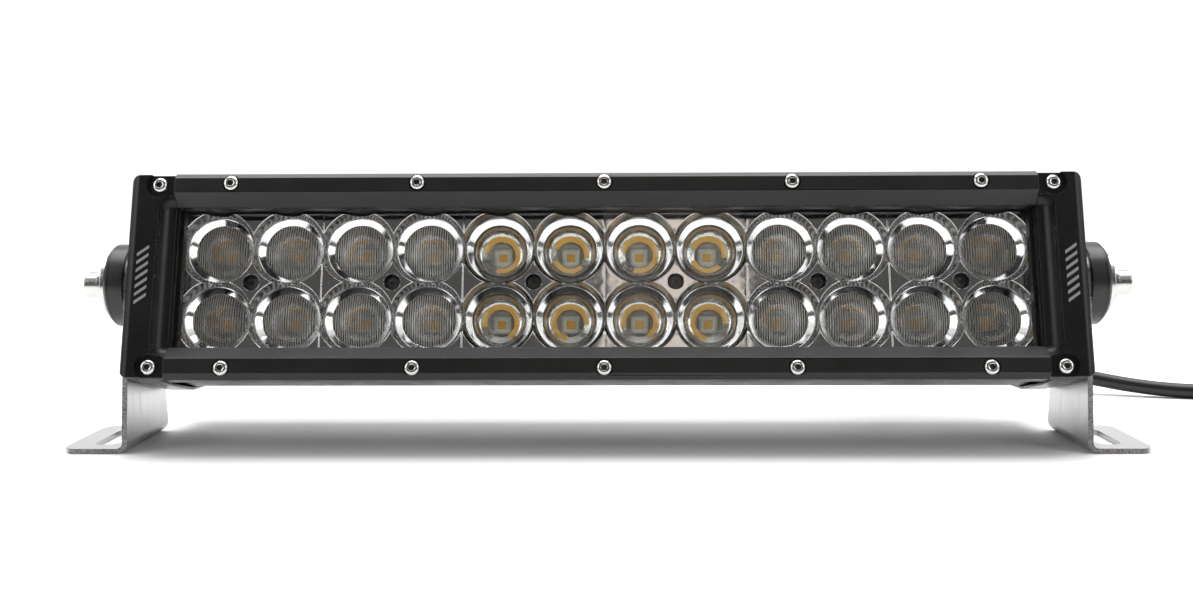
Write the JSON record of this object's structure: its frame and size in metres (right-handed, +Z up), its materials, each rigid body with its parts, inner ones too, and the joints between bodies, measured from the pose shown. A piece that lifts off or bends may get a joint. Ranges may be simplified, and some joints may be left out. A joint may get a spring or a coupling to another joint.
{
  "type": "led light bar",
  "caption": "Double-row LED light bar in a finned black housing, tilting on two slotted L-shaped feet.",
  "frame": {"origin": "on the mounting surface, in the middle of the footprint of the bar and its feet, cable left out", "axes": "+X along the bar to its right-hand end seen from the front, +Y away from the lit face, +Z up from the mounting surface"},
  "size_m": [0.5299, 0.1516, 0.1003],
  "materials": {
    "board_white": "white solder mask",
    "cable_black": "satin sheath",
    "cap_black": "satin black powder coat on a casting",
    "component_dark": "moulded",
    "connector_grey": "moulded",
    "driver_green": "solder mask",
    "housing_black": "satin black powder coat",
    "isolator_black": "satin moulded",
    "lead_red": "insulated wire",
    "nylon_black": "moulded nylon",
    "optic_clear": "moulded clear acrylic",
    "phosphor_yellow": "phosphor",
    "reflector_chrome": "vacuum metallised",
    "seal_rubber": "matt silicone",
    "stainless_screw": "bright stainless",
    "stainless_sheet": "satin stainless",
    "strip_black": "satin black anodised",
    "terminal_brass": "bright",
    "thermal_grey": "matt",
    "tie_black": "hook and loop strap",
    "window_clear": "clear polycarbonate"
  },
  "bodies": {
    "brackets": {"left_bracket": "stainless_sheet", "right_bracket": "stainless_sheet", "left_isolator": "isolator_black", "right_isolator": "isolator_black", "cable_coil": "cable_black", "cable_tail": "cable_black", "coil_tie": "tie_black", "connector_collar": "connector_grey", "connector_body": "connector_grey", "connector_terminals": "terminal_brass"},
    "lamp": {"bottom_lens_strip": "strip_black", "bottom_strip_screws": "stainless_screw", "breather_vent": "nylon_black", "cable_gland": "nylon_black", "cable_lead": "cable_black", "driver_board": "driver_green", "driver_components": "component_dark", "flood_optics_1": "optic_clear", "flood_optics_2": "optic_clear", "flood_optics_5": "optic_clear", "flood_optics_6": "optic_clear", "front_lens": "window_clear", "gland_nut": "nylon_black", "gland_seal": "seal_rubber", "heatsink_housing": "housing_black", "internal_leads": "lead_red", "led_board": "board_white", "led_emitters": "phosphor_yellow", "left_cap_screws": "stainless_screw", "left_cap_side_screws": "stainless_screw", "left_end_cap": "cap_black", "left_end_gasket": "seal_rubber", "left_flat_washer": "stainless_screw", "left_pivot_screw": "stainless_screw", "left_spring_washer": "stainless_screw", "lens_gasket": "seal_rubber", "reflector_1": "reflector_chrome", "reflector_2": "reflector_chrome", "reflector_3": "reflector_chrome", "reflector_4": "reflector_chrome", "reflector_5": "reflector_chrome", "reflector_6": "reflector_chrome", "reflector_screws": "stainless_screw", "right_cap_screws": "stainless_screw", "right_cap_side_screws": "stainless_screw", "right_end_cap": "cap_black", "right_end_gasket": "seal_rubber", "right_flat_washer": "stainless_screw", "right_pivot_screw": "stainless_screw", "right_spring_washer": "stainless_screw", "spot_optics_3": "optic_clear", "spot_optics_4": "optic_clear", "thermal_pad": "thermal_grey", "top_lens_strip": "strip_black", "top_strip_screws": "stainless_screw"}
  },
  "joints": [
    {"name": "lamp_tilt", "type": "hinge", "parent": "brackets", "child": "lamp", "pos_m": [0, -0.016, 0.0592], "axis": [1, 0, 0], "range_deg": [-27, 60], "deforming": ["cable_lead"]}
  ]
}
